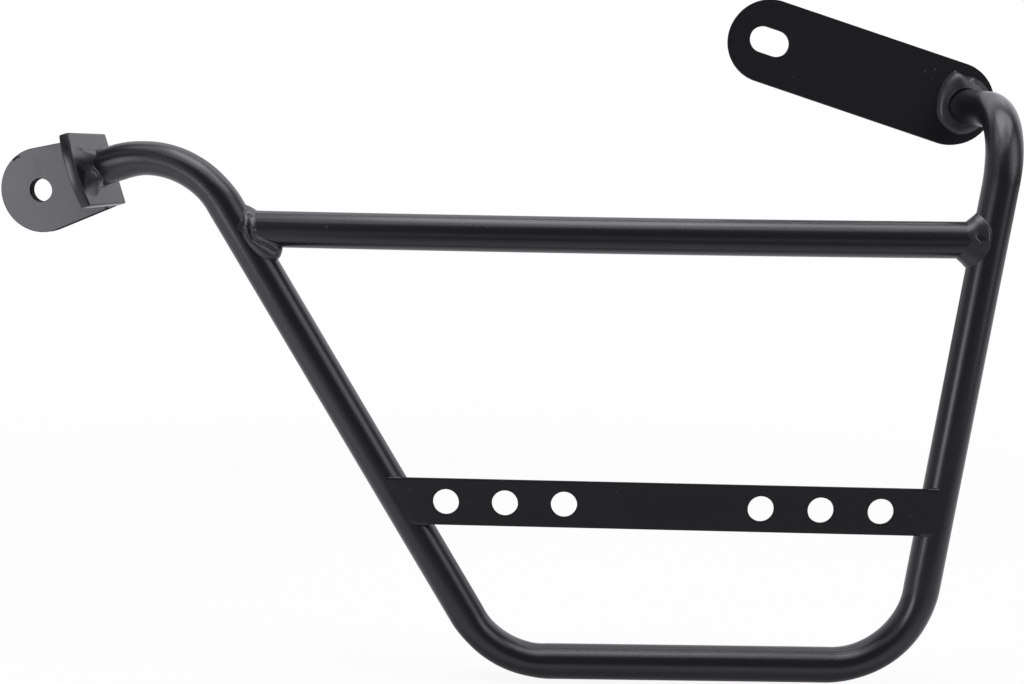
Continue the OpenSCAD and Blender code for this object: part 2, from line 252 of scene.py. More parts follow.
def paint(name, rough, peel, specks=True, marks=(), base=PAINT, specular=0.5):
    """peel is the height of the orange peel. A mark has two ends, a width, a depth and a share
    of the rubbed colour. It is a nick in the bump, and duller than the paint round it."""
    made, start = new_material(name)
    place = start.node("ShaderNodeTexCoord", take="Object")
    cloud = grain(start, place, CLOUDS)
    fine = grain(start, place, FINE_GRAINS)
    orange_peel = grain(start, place, PEEL_GRAINS, 1.0)
    roughness = rough + CLOUD_DULL * (cloud - 0.5) + FINE_DULL * (fine - 0.5)
    height = peel * orange_peel
    worn = None
    if specks:
        dust = start.node("ShaderNodeTexVoronoi", {"feature": "F1"}, Vector=place,
                          Scale=DUST_GRAINS, Randomness=1.0)
        pick = grain(start, place, DUST_PATCHES, 0.0).step(0.62, 0.70)
        worn = 0.5 * dust.step(0.075, 0.04) * pick
        height = height + worn
    for ends, width, depth, shade in marks:
        spot = mark(start, place, ends, width)
        height = height - depth * spot
        roughness = roughness + NICK_DULL * depth * spot
        worn = shade * spot if worn is None else worn.at_least(shade * spot)
    bump = start.node("ShaderNodeBump", Strength=BUMP_STRENGTH, Distance=BUMP_DEPTH,
                      Height=height)
    colour = base
    if worn is not None:
        colour = blend(start, worn, base, RUBBED)
        roughness = roughness + WORN_DULL * worn
    shader = start.node("ShaderNodeBsdfPrincipled", _0=colour, Roughness=roughness, Normal=bump,
                        Specular_IOR_Level=specular)
    start.node("ShaderNodeOutputMaterial", Surface=shader)
    return made


tube_paint = paint("tube_paint", rough=0.27, peel=0.1, marks=(
    (((136.4, -36.7, -14.1), (136.4, -36.7, -14.1)), 0.5, 1.0, 1.0),))
plate_paint = paint("plate_paint", rough=0.26, peel=0.2, marks=(
    (((403.0, -36.8, -132.3), (403.1, -36.8, -134.9)), 0.4, 2.0, 0.9),
    (((392.0, -36.8, -135.9), (392.0, -36.8, -135.9)), 0.5, 1.0, 0.8),
    (((399.1, -36.8, -140.7), (399.1, -36.8, -140.7)), 0.5, 1.0, 0.8),
    (((173.6, -36.8, -129.1), (174.2, -36.8, -131.0)), 0.35, 1.0, 0.5),
    (((407.5, 37.1, 61.4), (407.5, 37.1, 61.9)), 0.5, 1.0, 0.5),
    (((410.9, 37.1, 58.7), (410.9, 37.1, 58.7)), 0.5, 1.0, 0.5),
    (((412.1, 37.1, 62.9), (412.4, 37.1, 62.4)), 0.5, 1.0, 0.5)))
edge_paint = paint("edge_paint", rough=0.55, peel=0.6, specks=False, specular=0.03)
# The welds take the lighter colour above, which is painted light.
weld_paint = paint("weld_paint", rough=0.31, peel=0.3, specks=False, base=WELD_LIT_PAINT)
lug_paint = paint("lug_paint", rough=0.26, peel=0.2, marks=(
    (((-15.0, -3.6, 14.2), (-13.0, -3.75, 13.3)), 0.50, 9.0, 0.1),
    (((-13.0, -3.75, 13.3), (-11.6, -3.9, 14.7)), 0.45, 9.0, 0.1),
    (((-11.6, -3.9, 14.7), (-10.4, -4.0, 14.7)), 0.50, 9.0, 0.1),
    (((18.5, -6.2, -8.7), (18.5, -6.2, -8.7)), 0.6, 1.0, 1.0),
    (((-1.7, -4.7, 7.6), (-2.0, -4.8, 12.6)), 2.8, 0.1, 0.25)))
print("materials:", [m.name for m in bpy.data.materials])

# %% [markdown]
# ## Handing a finished shape to the frame
#
# Each piece below is a bmesh. When its shape is done, it becomes an object that stands at the
# origin, with its place in its mesh, and it takes the place of its CAD node in the picture.
# Flat faces are shaded flat and round ones smooth, with a sharp edge where two faces meet at
# more than 40 degrees.

# %% Turn a bmesh into a piece
SHARP, FLAT_ENOUGH = radians(40), 0.999


def add_object(name, data):
    made = bpy.data.objects.new(name, data)
    bpy.context.scene.collection.objects.link(made)
    return made


def piece(bm, name, node, material, flat=None, edge=None):
    """Gives a finished mesh its paint and hands it over in the place of a CAD node. flat is
    the direction that the flat faces look in, and edge the paint of all others."""
    bmesh.ops.recalc_face_normals(bm, faces=bm.faces)
    mesh = bpy.data.meshes.new(name)
    bm.to_mesh(mesh)
    bm.free()
    mesh.shade_smooth()
    mesh.set_sharp_from_angle(angle=SHARP)
    mesh.materials.append(material)
    if edge:
        mesh.materials.append(edge)
    for polygon in mesh.polygons:
        if flat and abs(polygon.normal.dot(flat)) > FLAT_ENOUGH:
            polygon.use_smooth = False
        elif edge:
            polygon.material_index = 1
    made = add_object(name, mesh)
    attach(made, "root")
    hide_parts(node)
    low, high = (Vector(end(v.co[k] for v in mesh.vertices) for k in range(3))
                 for end in (min, max))
    print(f"{name}: {len(mesh.polygons)} faces, {in_mm([high - low])[0]} mm")

# %% [markdown]
# ## The bent tube
#
# The real loop is one tube, bent round a former four times. A curve with a bevel could draw
# it, but the wall of a bent tube doesn't stay round: it flattens by a few per cent in the plane
# of each bend. So a ring of vertices is walked along the path with extrude and spin, one
# step at a time, and each ring inside a bend is then squashed towards the bend's centre.

# %% Walk a ring along the loop
RING_POINTS = 72
BEND_STEPS = 28
FLATTEN, SPREAD, EASE = 0.065, 0.035, 1.7


def start_ring(bm, at, along, radius):
    turn = along.to_track_quat("Z", "Y").to_matrix().to_4x4()
    return bmesh.ops.create_circle(bm, segments=RING_POINTS, radius=radius,
                                   matrix=Matrix.Translation(at) @ turn)["verts"]


def ring_edges(ring):
    members = set(ring)
    return [e for e in {e for v in ring for e in v.link_edges} if set(e.verts) <= members]


def push(bm, ring, shift):
    """Extrudes the ring and moves the new one. Returns the new ring."""
    grown = bmesh.ops.extrude_edge_only(bm, edges=ring_edges(ring))["geom"]
    fresh = [g for g in grown if isinstance(g, bmesh.types.BMVert)]
    bmesh.ops.translate(bm, verts=fresh, vec=shift)
    return fresh


def bend(bm, ring, centre, axis, angle):
    """Swings the ring round a bend in small steps. Returns the last ring and all of them."""
    rings = []
    for _ in range(BEND_STEPS):
        grown = bmesh.ops.spin(bm, geom=ring_edges(ring), cent=centre, axis=axis,
                               angle=angle / BEND_STEPS, steps=1, use_merge=False)
        ring = [g for g in grown["geom_last"] if isinstance(g, bmesh.types.BMVert)]
        rings.append(ring)
    return ring, rings


def squash_bend(bm, rings, centre, axis):
    """Flattens the rings of a bend, least at its ends. EASE says how soon it is full."""
    for k, ring in enumerate(rings):
        middle = sum((v.co for v in ring), Vector()) / len(ring)
        across = (middle - centre).normalized()
        share = min(1.0, EASE * sin(pi * (k + 1) / (len(rings) + 1)))
        turn = Matrix((across, axis, across.cross(axis))).to_4x4()
        bmesh.ops.scale(bm, vec=(1 - FLATTEN * share, 1 + SPREAD * share, 1),
                        space=turn @ Matrix.Translation(-middle), verts=ring)


tube = bmesh.new()
ring = start_ring(tube, tube_start, out_dir, TUBE_R)
for i in range(len(corners) - 1):
    length = (corners[i + 1] - corners[i]).length - set_back(i) - set_back(i + 1)
    ring = push(tube, ring, run_dir(i) * length)
    if i + 2 < len(corners):
        inner = (run_dir(i + 1) - run_dir(i) * run_dir(i).dot(run_dir(i + 1))).normalized()
        centre = corners[i + 1] - run_dir(i) * set_back(i + 1) + inner * bend_radii[i + 1]
        axis = run_dir(i).cross(inner)
        ring, rings = bend(tube, ring, centre, axis, bend_angle(i + 1))
        squash_bend(tube, rings, centre, axis)
        print("bend", i + 1, "of", round(degrees(bend_angle(i + 1)), 1), "degrees")
bmesh.ops.bisect_plane(tube, geom=tube.verts[:] + tube.edges[:] + tube.faces[:], dist=TINY,
                       plane_co=(0, plate_y, 0), plane_no=(0, 1, 0), clear_outer=True)
bmesh.ops.holes_fill(tube, edges=[e for e in tube.edges if e.is_boundary], sides=0)
piece(tube, "loop_tube", "main_tube", tube_paint)

# %% [markdown]
# ## The cross tube
#
# A plain tube whose ends are cut to the shape of the tubes that they meet, which a welder calls
# a fish mouth. Each point of an end ring slides along the tube until it lies on the other
# tube's surface. Heat from the welds has pulled the middle down by a little over half a
# millimetre, so the rings in between follow a shallow arc.

# %% Push the cross tube and cut its mouths
CROSS_STEPS = 24
CROSS_SAG = 0.6 * MM


def mouth_x(y, z, angle):
    """How far from the meeting point of the two axes a point at y, z meets the other tube."""
    return (sqrt(max(TUBE_R ** 2 - y ** 2, 0)) - z * cos(angle)) / sin(angle)


bar = bmesh.new()
ring = start_ring(bar, cross_left, X_AXIS, TUBE_R)
rings = [ring]
span = cross_right.x - cross_left.x
for _ in range(CROSS_STEPS):
    ring = push(bar, ring, X_AXIS * span / CROSS_STEPS)
    rings.append(ring)
for k, ring in enumerate(rings):
    sag = 4 * CROSS_SAG * (k / CROSS_STEPS) * (1 - k / CROSS_STEPS)
    bmesh.ops.translate(bar, verts=ring, vec=(0, 0, -sag))
for ring, middle, side, angle in ((rings[0], cross_left, 1, DIAGONAL_ANGLE),
                                  (rings[-1], cross_right, -1, LEG_ANGLE)):
    for v in ring:
        v.co.x = middle.x + side * mouth_x(v.co.y - loop_y, v.co.z - cross_z, angle)
bmesh.ops.holes_fill(bar, edges=[e for e in bar.edges if e.is_boundary], sides=0)
piece(bar, "cross_bar", "cross_tube", tube_paint)

# %% [markdown]
# ## Plates
#
# The flat bar, the top plate, the flange and the lug are all cut from sheet. Each starts as
# closed outlines in one plane, the outer edge and its holes, which are filled, given their
# thickness by one extrude and softened by a small bevel, as paint rounds a cut edge. A slot or
# a round-ended plate is a circle pulled apart.

# %% Outlines, and one function for every plate
PLATE_BEVEL, BEVEL_STEPS, RIM_ANGLE = 0.25 * MM, 3, radians(50)


def circle(bm, radius, at=(0, 0), pulled=0):
    """A circle in the XY plane, or with pulled a slot whose round ends lie that far apart."""
    half_step = Matrix.Rotation(pi / RING_POINTS, 4, "Z")
    ring = bmesh.ops.create_circle(bm, segments=RING_POINTS, radius=radius,
                                   matrix=half_step)["verts"]
    for v in ring:
        v.co += Vector((at[0] + (pulled / 2 if v.co.x > 0 else -pulled / 2), at[1], 0))
    return ring


def outline(bm, points):
    made = [bm.verts.new((x, y, 0)) for x, y in points]
    for a, b in zip(made, made[1:] + made[:1]):
        bm.edges.new((a, b))
    return made


def thicken(bm, thickness, place, bevel=PLATE_BEVEL):
    """Fills the outlines, gives them thickness along +Z and puts the plate in its place."""
    bmesh.ops.triangle_fill(bm, use_beauty=True, use_dissolve=False, edges=bm.edges[:])
    grown = bmesh.ops.extrude_face_region(bm, geom=bm.faces[:])["geom"]
    bmesh.ops.translate(bm, verts=[g for g in grown if isinstance(g, bmesh.types.BMVert)],
                        vec=(0, 0, thickness))
    bmesh.ops.recalc_face_normals(bm, faces=bm.faces)
    rim = [e for e in bm.edges if e.is_manifold and e.calc_face_angle() > RIM_ANGLE]
    bmesh.ops.bevel(bm, geom=rim, offset=bevel, segments=BEVEL_STEPS, profile=0.5,
                    affect="EDGES", material=-1, clamp_overlap=True)
    bmesh.ops.transform(bm, matrix=place, verts=bm.verts)


def stand(at, x_dir, z_dir):
    """The place of a thing: where its origin goes, and where its X and Z directions point."""
    turn = Matrix((x_dir, z_dir.cross(x_dir), z_dir)).transposed().to_4x4()
    return Matrix.Translation(at) @ turn

# %% The flat bar
STRAP_H, STRAP_T, STRAP_GAP = 20.4 * MM, 3 * MM, 0.8 * MM
HOLE_R, PITCH, LEFT_MARGIN, RIGHT_MARGIN = 5.75 * MM, 26 * MM, 13.8 * MM, 18.8 * MM
HOLES_A_SIDE = 3
strap_edge = sqrt(TUBE_R ** 2 - (TUBE_R - STRAP_T) ** 2) + STRAP_GAP
strap_face_y = loop_y - TUBE_R


def strap_left(z):
    return diagonal_x(z) + strap_edge / sin(DIAGONAL_ANGLE)


def strap_right(z):
    return leg_x(z) - strap_edge / sin(LEG_ANGLE)


strap = bmesh.new()
low, high = strap_z - STRAP_H / 2, strap_z + STRAP_H / 2
outline(strap, [(strap_left(low), low), (strap_right(low), low),
                (strap_right(high), high), (strap_left(high), high)])
for i in range(HOLES_A_SIDE):
    for x in (strap_left(strap_z) + LEFT_MARGIN + i * PITCH,
              strap_right(strap_z) - RIGHT_MARGIN - i * PITCH):
        circle(strap, HOLE_R, (x, strap_z))
thicken(strap, STRAP_T, stand(Vector((0, strap_face_y + STRAP_T, 0)), X_AXIS, -Y_AXIS))
piece(strap, "flat_bar", "bag_strap", plate_paint, Y_AXIS, edge_paint)

# %% The top plate
PLATE_T, PLATE_W, PLATE_SPAN, PLATE_ANGLE = 4 * MM, 38.8 * MM, 91.2 * MM, radians(17.9)
PLATE_FOOT, PLATE_DROP, PLATE_CLEAR = 5.3 * MM, 0.5 * MM, 0.01 * MM
SLOT_W, SLOT_LEN, SLOT_INSET = 12.6 * MM, 19 * MM, 0.2 * MM

along = Vector((-cos(PLATE_ANGLE), 0, sin(PLATE_ANGLE)))
across = Vector((sin(PLATE_ANGLE), 0, cos(PLATE_ANGLE)))
near_end = tube_foot + along * PLATE_FOOT - across * PLATE_DROP
plate = bmesh.new()
# PLATE_CLEAR keeps the round ends a hair inside the box round the CAD part.
circle(plate, PLATE_W / 2 - PLATE_CLEAR, (PLATE_SPAN / 2, 0), PLATE_SPAN)
circle(plate, SLOT_W / 2, (PLATE_SPAN - SLOT_INSET, 0), SLOT_LEN - SLOT_W)
thicken(plate, PLATE_T, stand(near_end, along, Y_AXIS))
piece(plate, "slotted_plate", "top_plate", plate_paint, Y_AXIS, edge_paint)

# %% The flange and the lug
FLANGE_W, FLANGE_H, FLANGE_BOW = 39.7 * MM, 32.8 * MM, 3.4 * MM
FLANGE_BEVEL, BOW_STEPS = 0.7 * MM, 40
LUG_R, LUG_HOLE_R = 19.3 * MM, 5.25 * MM


def arc(bm, first, centre, angle, steps):
    """Swings one vertex round a centre. Returns the ends of the arc, lowest first."""
    start = bm.verts.new(first)
    grown = bmesh.ops.spin(bm, geom=[start], cent=centre, axis=(0, 0, 1), angle=angle,
                           steps=steps, use_merge=False)
    return start, grown["geom_last"][0]


def close(bm, *points):
    for a, b in zip(points, points[1:]):
        bm.edges.new((a, b))


bow_r = ((FLANGE_H / 2) ** 2 + FLANGE_BOW ** 2) / (2 * FLANGE_BOW)
bow_centre = Vector((FLANGE_W + FLANGE_BOW - bow_r, 0, 0))
half_bow = asin(FLANGE_H / 2 / bow_r)
flange = bmesh.new()
low_end, high_end = arc(flange, (FLANGE_W, -FLANGE_H / 2, 0), bow_centre, 2 * half_bow,
                        BOW_STEPS)
back = [flange.verts.new((0, y, 0)) for y in (FLANGE_H / 2, -FLANGE_H / 2)]
close(flange, high_end, back[0], back[1], low_end)
thicken(flange, BRACKET_T, stand(out_dir * LUG_REACH, -bracket_in, out_dir), FLANGE_BEVEL)
piece(flange, "flange", "flange_plate", plate_paint, out_dir)

lug_corner = Vector((LUG_REACH, FLANGE_H / 2))
touch = atan2(lug_corner.y, lug_corner.x) + acos(LUG_R / lug_corner.length)
lug = bmesh.new()
high_end, low_end = arc(lug, (LUG_R * cos(touch), LUG_R * sin(touch), 0), (0, 0, 0),
                        2 * (pi - touch), RING_POINTS)
feet = [lug.verts.new((LUG_REACH, y, 0)) for y in (-FLANGE_H / 2, FLANGE_H / 2)]
close(lug, low_end, feet[0], feet[1], high_end)
circle(lug, LUG_HOLE_R)
thicken(lug, BRACKET_T, stand(Vector(), out_dir, -bracket_in))
piece(lug, "lug", "lug_plate", lug_paint, bracket_in, edge_paint)

# %% [markdown]
# ## Weld beads
#
# A weld is metal laid in the corner between two pieces, here a closed ring round each joint.
# Every bead below is a flat grid of squares that is wrapped. One direction of the grid goes
# round the joint. The other goes across the bead, from its toe on one piece to its toe on the
# other, and back underneath, inside the metal.
#
# Hand-laid beads are uneven, and these are wide in some places and thin in others. So each
# length is given at a few angles round the joint, and a smooth curve joins them.

# %% Lengths that change round a joint
def by_angle(*stops):
    """A length in mm, given as (angle, length) pairs, on a smooth closed curve through them."""
    ring = [(a + turn, x) for turn in (-360, 0, 360) for a, x in stops]
    angles = [a for a, _ in ring]

    def slope(i):
        return (ring[i + 1][1] - ring[i - 1][1]) / (angles[i + 1] - angles[i - 1])

    def at(a):
        i = bisect_right(angles, a % 360) - 1
        wide = angles[i + 1] - angles[i]
        t = (a % 360 - angles[i]) / wide
        x = ring[i][1] * (1 + 2 * t) * (1 - t) ** 2 + ring[i + 1][1] * t * t * (3 - 2 * t)
        x += wide * t * (1 - t) * (slope(i) * (1 - t) - slope(i + 1) * t)
        return x * MM
    return at


print("half way up a rise of 4 mm:", by_angle((0, 0), (90, 4), (270, 4))(45) / MM, "mm")

# %% Wrap a grid round a joint
def wrap(around, across_steps, spot):
    """spot(u, v) gives the place of a grid point, with u and v from 0 to 1."""
    bm = bmesh.new()
    bmesh.ops.create_grid(bm, x_segments=around, y_segments=across_steps, size=0.5)
    for v in bm.verts:
        v.co = spot(v.co.x + 0.5, v.co.y + 0.5)
    bmesh.ops.remove_doubles(bm, verts=bm.verts, dist=TINY)
    return bm


# UNDER is the share of the grid that goes back inside the metal, as deep as ROOT. The toes sink
# by TOE_SINK, so no gap shows, and SKIN_GRAIN is the size of the small waves. The last three
# are in mm.
AROUND, ACROSS, UNDER = 360, 44, 0.2
ROOT, TOE_SINK, SKIN_GRAIN = 1.3, 0.12, 3.5


def bead(toe_a, toe_b, corner, out, hollow, lift, lumps, rough, seed):
    """A ring bead. toe_a, toe_b and corner are points at an angle in degrees, and out points
    away from the corner. hollow is 1 for a bead that sinks into its corner and -1 for a fat
    one, and lift raises its middle. A lump is an angle, a share of the way from toe_a to
    toe_b, a height in mm, and its size in degrees and as a share."""
    @lru_cache(None)
    def section(a):
        return toe_a(a), toe_b(a), corner(a), out(a), hollow(a) / MM, lift(a)

    def spot(u, v):
        a = round(360 * (u % 1.0), 3) % 360
        one, two, deep, away, sink, middle_lift = section(a)
        if v >= 1 - UNDER:
            t = (v - (1 - UNDER)) / UNDER
            inside = deep - away * ROOT * MM
            return two.lerp(inside, 2 * t) if t < 0.5 else inside.lerp(one, 2 * t - 1)
        t = v / (1 - UNDER)
        middle = (one + two) / 2
        pull = middle + (deep - middle) * sink
        place = one * (1 - t) ** 2 + pull * 2 * t * (1 - t) + two * t ** 2
        rise = middle_lift * sin(pi * t)
        soft = min(1.0, 4 * t, 4 * (1 - t))
        waves = noise.noise(place / (SKIN_GRAIN * MM) + Vector((seed, 0, 0)))
        rise += rough * MM * soft * waves
        for at, where, height, wide, deep_wide in lumps:
            off = (a - at + 180) % 360 - 180
            rise += height * MM * exp(-(off / wide) ** 2 - ((t - where) / deep_wide) ** 2)
        return place + away * rise
    return wrap(AROUND, ACROSS, spot)

# %% [markdown]
# ## Welds at the flange and the top plate
#
# Both tube ends stand on a plate, so the bead is a ring with one toe on the plate and one on
# the tube. At the flange the welder weaved wide: the metal flows out in two wings towards the
# outer edge and leaves a crease where it lies over the tube. At the top plate the bead is a
# low fat ring that grew lumpy at the top, where it was started and stopped.

# %% Ring welds
def ring_weld(centre, axis, x_dir, plate_leg, tube_leg, **kind):
    """The angle goes from x_dir towards axis cross x_dir. Legs are measured from the tube."""
    side = axis.cross(x_dir)

    def ray(a):
        return x_dir * cos(radians(a)) + side * sin(radians(a))

    def on_plate(a):
        return centre + ray(a) * (TUBE_R + plate_leg(a)) - axis * TOE_SINK * MM

    def on_tube(a):
        return centre + ray(a) * (TUBE_R - TOE_SINK * MM) + axis * tube_leg(a)

    def corner(a):
        return centre + ray(a) * TUBE_R

    def out(a):
        return (ray(a) + axis).normalized()

    return bead(on_plate, on_tube, corner, out, **kind)


flange_weld = ring_weld(
    tube_start, out_dir, bracket_up,
    by_angle((0, 0.9), (12, 1.2), (33, 4.3), (47, 9.6), (62, 12.0), (75, 13.6), (84, 9.4),
             (96, 6.8), (105, 9.6), (112, 13.4), (123, 13.2), (142, 8.8), (158, 2.6),
             (180, 0.7), (225, 2.5), (270, 3.5), (320, 1.5)),
    by_angle((0, 2.6), (26, 3.4), (49, 3.9), (66, 3.1), (81, 2.1), (92, 2.7), (107, 3.6),
             (130, 4.2), (160, 1.9), (200, 1.5), (270, 3), (330, 2)),
    hollow=by_angle((0, 0.3), (47, 0.5), (75, 0.45), (96, 0.6), (112, 0.78), (142, 0.6),
                    (180, 0.1), (330, 0.1)),
    lift=by_angle((0, 0), (60, 0.15), (180, 0)),
    lumps=((60, 0.66, 0.55, 24, 0.20), (62, 0.90, 0.25, 18, 0.10),
           (108, 0.90, 0.20, 14, 0.10), (88, 0.86, -0.5, 5, 0.035),
           (98, 0.80, -0.4, 4, 0.035), (58, 0.25, -0.5, 3, 0.04)),
    rough=0.06, seed=3.0)
piece(flange_weld, "flange_weld", "weld_flange", weld_paint)

top_weld = ring_weld(
    tube_foot, -Y_AXIS, Z_AXIS,
    by_angle((0, 6.0), (12, 8.2), (17, 8.9), (25, 8.4), (40, 7.2), (54, 6.1), (88, 4.6),
             (116, 5.1), (149, 5.3), (171, 5.8), (191, 5.4), (214, 4.9), (270, 4.6), (294, 5.1),
             (315, 5.4), (347, 5.9)),
    by_angle((0, 5.6), (30, 5.6), (60, 4.2), (90, 3.4), (180, 3.6), (270, 3.8), (320, 4.6)),
    hollow=by_angle((0, -0.4), (35, -0.5), (90, -0.9), (180, -0.8), (270, -0.5), (330, -0.4)),
    lift=by_angle((0, 0.5), (40, 0.3), (90, 0.0), (180, 0.0), (270, 0.1)),
    lumps=((10, 0.45, 0.8, 26, 0.35), (17, 0.05, 0.7, 1.6, 0.04), (354, 0.35, -0.5, 4, 0.2),
           (345, 0.35, 0.5, 6, 0.25), (336, 0.3, -0.4, 4, 0.2), (326, 0.3, 0.3, 6, 0.2),
           (95, 0.10, 0.3, 45, 0.07), (315, 0.10, 0.3, 25, 0.07), (60, 0.3, 0.2, 6, 0.2)),
    rough=0.10, seed=7.0)
piece(top_weld, "top_plate_weld", "weld_top_plate", weld_paint)

# %% [markdown]
# ## Saddle welds at the ends of the cross tube
#
# Where two round tubes of one size meet, the joint is a saddle: level in front and behind, and
# deep above and below. The angle goes round the cross tube, from 0 in front over 90 on top. A
# toe on the loop is found by walking away from the joint over the tube's unrolled skin.

# %% Saddle welds
def saddle_weld(at, side, rise, cross_leg, run_leg, **kind):
    """side is 1 where the cross tube leaves to the right. rise points up along the loop."""
    away = Vector((side * abs(rise.z), 0, -side * rise.x))

    def normal(a):
        return Vector((0, -cos(radians(a)), sin(radians(a))))

    def joint(a):
        n = normal(a)
        x = (TUBE_R * abs(n.z) - TUBE_R * n.z * away.z) / away.x
        return Vector((x, TUBE_R * n.y, TUBE_R * n.z))

    def corner(a):
        return at + joint(a)

    def out(a):
        deep = joint(a)
        return (normal(a) + (deep - rise * deep.dot(rise)).normalized()).normalized()

    def on_cross(a):
        return corner(a) + X_AXIS * side * cross_leg(a) - normal(a) * TOE_SINK * MM

    def on_run(a):
        deep, skin = joint(a), TUBE_R - TOE_SINK * MM
        turn = atan2(-deep.y, deep.dot(away)) + run_leg(a) * cos(radians(a)) / TUBE_R
        level = deep.dot(rise) + run_leg(a) * sin(radians(a))
        return at + rise * level + away * skin * cos(turn) - Y_AXIS * skin * sin(turn)

    return bead(on_cross, on_run, corner, out, **kind)


left_weld = saddle_weld(
    cross_left, 1, -diagonal_dir,
    by_angle((0, 9.2), (37, 6.2), (60, 4.6), (90, 3.6), (180, 5), (240, 5), (270, 5.2),
             (300, 6.8), (318, 6.4), (335, 5.2), (345, 6.6)),
    by_angle((0, -3.0), (10, -2.5), (22, -1.3), (45, 0.4), (70, 1.6), (90, 3.0), (180, 3),
             (240, 5), (270, 6.2), (285, 6.9), (300, 6.8), (315, 5.2), (328, 3.4), (342, 1.2),
             (352, -1.2)),
    hollow=by_angle((0, 0), (60, 0.4), (90, 0.15), (180, 0), (270, -0.1), (300, -0.2)),
    lift=by_angle((0, 1.0), (45, 0.5), (90, 0.1), (180, 0.5), (270, 0.4), (315, 1.0)),
    lumps=((0, 0.78, 1.1, 26, 0.12), (357, 0.30, 1.0, 21, 0.12), (358, 0.53, -0.9, 28, 0.06),
           (310, 0.70, 0.7, 28, 0.2), (303, 0.22, 0.5, 18, 0.13), (318, 0.42, -0.45, 18, 0.07),
           (44, 0.45, -0.6, 9, 0.25), (80, 0.6, 0.35, 20, 0.3)),
    rough=0.08, seed=11.0)
piece(left_weld, "cross_weld_left", "weld_cross_left", weld_paint)

right_weld = saddle_weld(
    cross_right, -1, leg_dir,
    by_angle((0, 10.0), (17, 10.0), (60, 4.9), (90, 3.8), (180, 5), (240, 5), (270, 5.2),
             (295, 6.3), (325, 7.2)),
    by_angle((0, -0.9), (8, -0.1), (18, 1.3), (34, 2.6), (60, 3.2), (90, 3.8), (180, 3),
             (240, 3.5), (270, 4.3), (317, 3.5), (332, 2.5), (345, 1.0), (353, -0.2)),
    hollow=by_angle((0, 0), (60, 0.15), (90, 0.1), (180, 0), (270, 0.1)),
    lift=by_angle((0, 0.7), (45, 0.35), (90, 0), (180, 0.5), (270, 0), (315, 0.35)),
    lumps=((9, 0.52, -0.95, 21, 0.20), (10, 0.90, 0.7, 34, 0.05), (352, 0.45, 0.14, 4, 0.05),
           (352, 0.62, 0.14, 4, 0.05), (62, 0.6, 0.4, 16, 0.3), (330, 0.5, 0.25, 20, 0.4)),
    rough=0.06, seed=17.0)
piece(right_weld, "cross_weld_right", "weld_cross_right", weld_paint)

# %% [markdown]
# ## Welds at the ends of the flat bar
#
# The bar's face is level with the front of the tubes, so here the bead fills the gap between
# the two and was left almost flush. Its section is a flat lens, and it shrinks to a point at
# both ends of the bar, where a little metal stands out of the corner.

# %% Bar end welds
BEAD_OVER, BEAD_ON_BAR, BEAD_ON_TUBE, BEAD_DEPTH = 0.7 * MM, 1.5 * MM, 1.4 * MM, 1.6 * MM
FRONT_SHARE, BAR_AROUND, BAR_ACROSS = 0.7, 90, 40
# In mm: how proud the face of the bead is, how much it waves, how far it stands out at its two
# ends and how deep its toes sink.
PROUD, WAVE, END_LUMP, SINK = 0.10, 0.12, 0.35, 0.04


def bar_weld(side, rise, axis_x, seed):
    """side is 1 where the bar leaves to the right. The bead's rows are level, as the bar is."""
    wide = strap_edge + BEAD_ON_BAR + BEAD_ON_TUBE

    def row_point(z, far, y):
        """A point of a level row, as far from the tube's axis as far, measured square to it."""
        return Vector((axis_x(z) + side * far / abs(rise.z), loop_y - y, z))

    def spot(u, v):
        z = strap_z + (u - 0.5) * (STRAP_H + 2 * BEAD_OVER)
        to_end = abs(2 * u - 1)
        heart = row_point(z, 0.6 * strap_edge, TUBE_R - BEAD_DEPTH)
        if v < FRONT_SHARE:
            t = v / FRONT_SHARE
            far = strap_edge + BEAD_ON_BAR - wide * t
            level = TUBE_R if far > 0 else sqrt(TUBE_R ** 2 - far ** 2)
            place = row_point(z, far, level)
            swell = noise.noise(place / (4 * MM) + Vector((seed, 0, 0)))
            lift = sin(pi * t) * (PROUD + WAVE * swell + END_LUMP * to_end ** 14) - SINK
            place -= Y_AXIS * lift * MM
        else:
            t = (v - FRONT_SHARE) / (1 - FRONT_SHARE)
            far = wide * t - BEAD_ON_TUBE
            place = row_point(z, far, TUBE_R - 0.1 * MM - 1.5 * BEAD_DEPTH * sin(pi * t))
        return heart.lerp(place, sqrt(1 - to_end ** 16))
    return wrap(BAR_AROUND, BAR_ACROSS, spot)


left_end = bar_weld(1, -diagonal_dir, diagonal_x, 23.0)
piece(left_end, "bar_weld_left", "weld_strap_left", tube_paint)
right_end = bar_weld(-1, leg_dir, leg_x, 29.0)
piece(right_end, "bar_weld_right", "weld_strap_right", tube_paint)

# %% [markdown]
# ## The bead between the lug and the flange
#
# This bead lies in a straight corner behind the bracket, and its shape in the CAD part is the
# shape to show. So it keeps its CAD node and only takes the paint of the plates beside it.

# %% Paint the bead that keeps its CAD shape
lug_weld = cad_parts["weld_lug"].data
lug_weld.materials.clear()
lug_weld.materials.append(plate_paint)
print("weld_lug:", len(lug_weld.polygons), "CAD faces, painted")

# %% [markdown]
# ## Studio
#
# The frame stands on a pale floor in a white studio, and black satin shows little but what it
# reflects. So the room matters more than the paint. There is a dark side, where the camera
# stands, and it makes the flat faces almost black. Soft boxes overhead, at the left and at the
# right draw the bright bands along the tubes.
#
# The background is white because the world and the floor say so to the rays that come straight
# from the camera. Glossy and transmission rays get what the walls of the room would show, and
# painted light on the floor: patches that glow, dimmed by a painted shadow under the bottom
# tube. So the paint reflects a room that fits the picture. The lamps stay at a plain level. The
# floor also takes a little real light, which leaves the frame its soft shadow.

# %% World
LIGHT_TINT = (0.945, 0.93, 1.0, 1)
WHITE = (1, 1, 1, 1)


